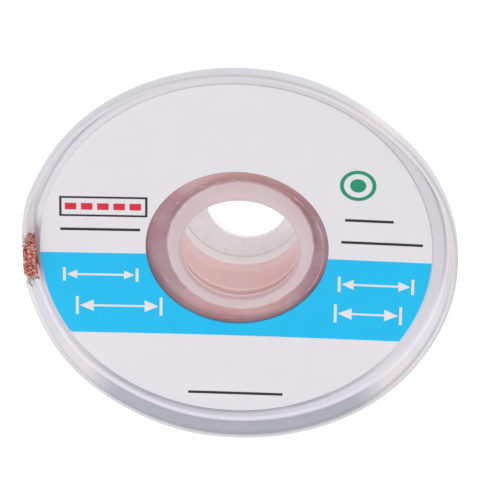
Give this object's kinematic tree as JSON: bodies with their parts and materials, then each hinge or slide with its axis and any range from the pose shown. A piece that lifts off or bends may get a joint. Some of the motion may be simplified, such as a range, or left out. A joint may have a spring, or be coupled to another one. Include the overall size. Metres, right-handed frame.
{
  "type": "desoldering braid spool",
  "caption": "Flat copper desoldering braid wound on a shallow translucent spool with a printed ring label and an open bore.",
  "frame": {"origin": "centre of the foot's rest face, where the spool's axis meets the floor", "axes": "+Z along the spool's axis, out of the labelled face; +Y towards the top of the label; the braid's free end lies on the rim at about -X"},
  "size_m": [0.054, 0.054, 0.0131],
  "materials": {
    "spool_plastic": "milky translucent moulded plastic",
    "label_paper": "printed paper sticker, white with a light blue band",
    "braided_copper": "fine woven bare copper"
  },
  "bodies": {
    "root": {"back_flange": "spool_plastic", "front_flange": "spool_plastic", "label": "label_paper", "copper_braid": "braided_copper"}
  },
  "joints": []
}
